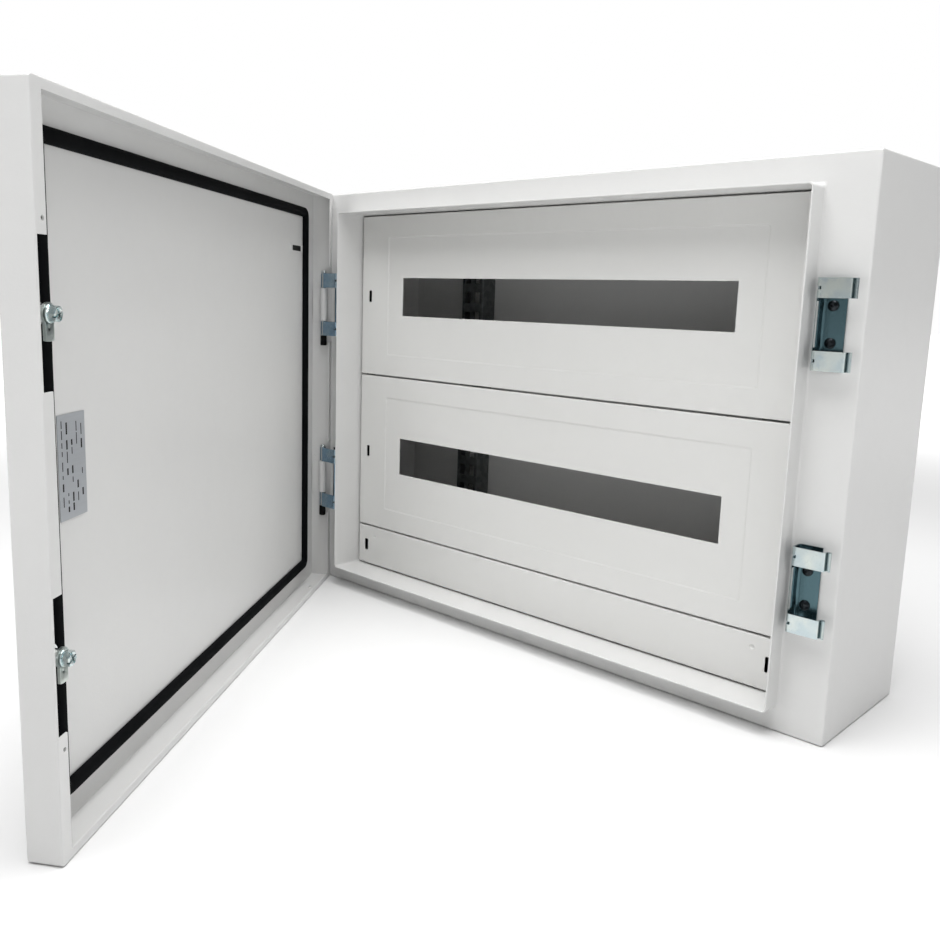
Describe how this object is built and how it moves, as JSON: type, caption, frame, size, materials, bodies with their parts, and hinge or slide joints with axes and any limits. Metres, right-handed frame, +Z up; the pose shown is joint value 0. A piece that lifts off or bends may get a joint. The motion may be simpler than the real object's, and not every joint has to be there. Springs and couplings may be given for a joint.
{
  "type": "load center",
  "caption": "Wall-mounted sheet-steel distribution enclosure with a left-hinged door, quarter-turn locks and pull-off covers with module windows.",
  "frame": {"origin": "middle of the flat back face, where the cabinet meets the wall", "axes": "+Z up, +Y out of the back into the wall, +X to the right of a person facing the door"},
  "size_m": [0.6706, 0.7199, 0.492],
  "materials": {
    "powder_coat": "fine orange-peel powder coat, light grey-white",
    "cover_coat": "smooth satin powder coat, light grey-white",
    "blue_zinc": "bright zinc plate with blue passivation",
    "dark_steel": "dull dark galvanised steel",
    "black_foam": "closed-cell foamed seal, matt black",
    "black_plastic": "black moulded plastic",
    "grey_plastic": "grey moulded plastic",
    "brass": "drawn brass bar",
    "label_foil": null
  },
  "bodies": {
    "cabinet": {"cabinet_shell": "powder_coat", "gland_plate": "powder_coat", "gland_seal": "black_foam", "gland_screw_front_left": "blue_zinc", "gland_screw_front_right": "blue_zinc", "gland_screw_rear_left": "blue_zinc", "gland_screw_rear_right": "blue_zinc", "upright_left": "dark_steel", "upright_bolt_left_upper": "blue_zinc", "upright_bolt_left_lower": "blue_zinc", "cover_rail_left": "dark_steel", "upright_right": "dark_steel", "upright_bolt_right_upper": "blue_zinc", "upright_bolt_right_lower": "blue_zinc", "cover_rail_right": "dark_steel", "bar_strip": "dark_steel", "earth_bar": "brass", "earth_bar_foot": "grey_plastic", "neutral_bar": "brass", "neutral_bar_foot": "grey_plastic", "hinge_bracket_upper": "blue_zinc", "hinge_bracket_upper_screw_top": "blue_zinc", "hinge_bracket_upper_screw_bottom": "blue_zinc", "lock_keeper_upper": "blue_zinc", "lock_keeper_upper_screw_top": "blue_zinc", "lock_keeper_upper_screw_bottom": "blue_zinc", "hinge_pin_upper": "blue_zinc", "pin_cap_upper": "black_plastic", "hinge_bracket_lower": "blue_zinc", "hinge_bracket_lower_screw_top": "blue_zinc", "hinge_bracket_lower_screw_bottom": "blue_zinc", "lock_keeper_lower": "blue_zinc", "lock_keeper_lower_screw_top": "blue_zinc", "lock_keeper_lower_screw_bottom": "blue_zinc", "hinge_pin_lower": "blue_zinc", "pin_cap_lower": "black_plastic"},
    "door": {"door_pan": "powder_coat", "door_gasket": "black_foam", "rating_label": "label_foil", "door_knuckle_upper": "powder_coat", "lock_barrel_upper": "blue_zinc", "lock_nut_upper": "blue_zinc", "door_knuckle_lower": "powder_coat", "lock_barrel_lower": "blue_zinc", "lock_nut_lower": "blue_zinc"},
    "upper_lock": {"lock_spindle_upper": "blue_zinc", "lock_tongue_upper": "blue_zinc", "lock_bolt_upper": "blue_zinc"},
    "lower_lock": {"lock_spindle_lower": "blue_zinc", "lock_tongue_lower": "blue_zinc", "lock_bolt_lower": "blue_zinc"},
    "upper_cover_unit": {"upper_cover": "cover_coat", "upper_cover_latch_left": "black_plastic"},
    "lower_cover_unit": {"lower_cover": "cover_coat", "lower_cover_latch_left": "black_plastic"},
    "blank_cover_unit": {"blank_cover": "cover_coat", "blank_cover_latch_left": "black_plastic", "blank_cover_latch_right": "black_plastic"}
  },
  "joints": [
    {"name": "door_hinge", "type": "hinge", "parent": "cabinet", "child": "door", "pos_m": [-0.3235, -0.1755, 0], "axis": [0, 0, -1], "range_deg": [-55, 60]},
    {"name": "upper_lock_turn", "type": "hinge", "parent": "door", "child": "upper_lock", "pos_m": [0.04039, -0.69223, 0.1105], "axis": [0.8191, 0.5736, 0], "range_deg": [0, 90]},
    {"name": "lower_lock_turn", "type": "hinge", "parent": "door", "child": "lower_lock", "pos_m": [0.04039, -0.69223, -0.1105], "axis": [0.8191, 0.5736, 0], "range_deg": [0, 90]},
    {"name": "upper_cover_pull", "type": "slide", "parent": "cabinet", "child": "upper_cover_unit", "axis": [0, -1, 0], "range_m": [0, 0.02]},
    {"name": "lower_cover_pull", "type": "slide", "parent": "cabinet", "child": "lower_cover_unit", "axis": [0, -1, 0], "range_m": [0, 0.02]},
    {"name": "blank_cover_pull", "type": "slide", "parent": "cabinet", "child": "blank_cover_unit", "axis": [0, -1, 0], "range_m": [0, 0.02]}
  ]
}
